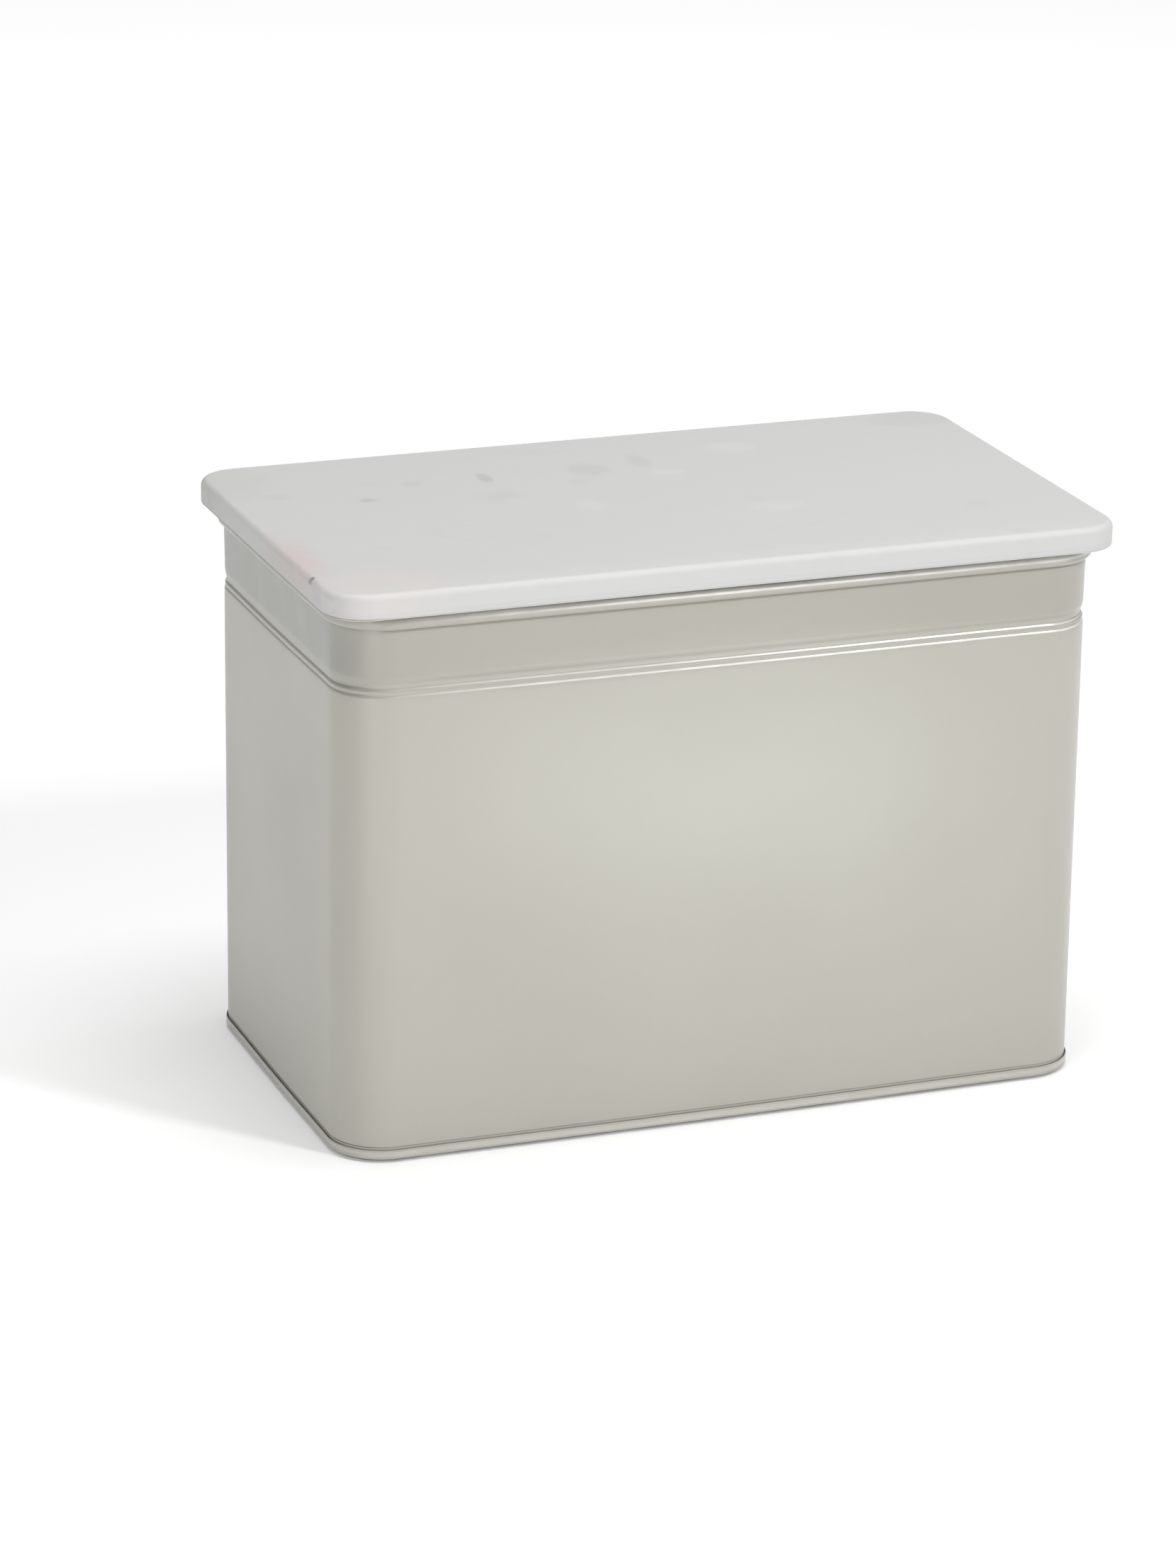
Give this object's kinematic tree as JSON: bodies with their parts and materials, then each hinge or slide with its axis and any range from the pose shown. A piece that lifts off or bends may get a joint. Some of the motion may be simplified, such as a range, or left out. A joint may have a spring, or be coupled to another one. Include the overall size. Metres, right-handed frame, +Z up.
{
  "type": "bread bin with marble lid",
  "caption": "Rounded rectangular painted sheet-steel bread bin with a rolled rim, two pressed grooves and a loose marble slab for a lid.",
  "frame": {"origin": "middle of the footprint, on the worktop under the feet", "axes": "+Z up, +X along the long side to the right seen from the front, +Y from front to back"},
  "size_m": [0.3536, 0.2036, 0.2518],
  "materials": {
    "body_paint": "satin putty-grey powder coat",
    "wire_steel": "bright drawn wire",
    "marble": "honed white-grey marble with faint veins",
    "silicone": "soft dark grey silicone",
    "foot_rubber": "matt grey rubber",
    "adhesive": "cured adhesive pad"
  },
  "bodies": {
    "bin": {"body_shell": "body_paint", "rim_wire": "wire_steel", "base_panel": "body_paint", "foot_front_left": "foot_rubber", "foot_front_right": "foot_rubber", "foot_back_left": "foot_rubber", "foot_back_right": "foot_rubber"},
    "lid": {"marble_slab": "marble", "lid_plate": "body_paint", "lid_gasket": "silicone", "bond_pad_front_left": "adhesive", "bond_pad_front_middle": "adhesive", "bond_pad_front_right": "adhesive", "bond_pad_back_left": "adhesive", "bond_pad_back_middle": "adhesive", "bond_pad_back_right": "adhesive"}
  },
  "joints": [
    {"name": "lid_lift", "type": "slide", "parent": "bin", "child": "lid", "axis": [0, 0, 1], "range_m": [0, 0.2]}
  ]
}
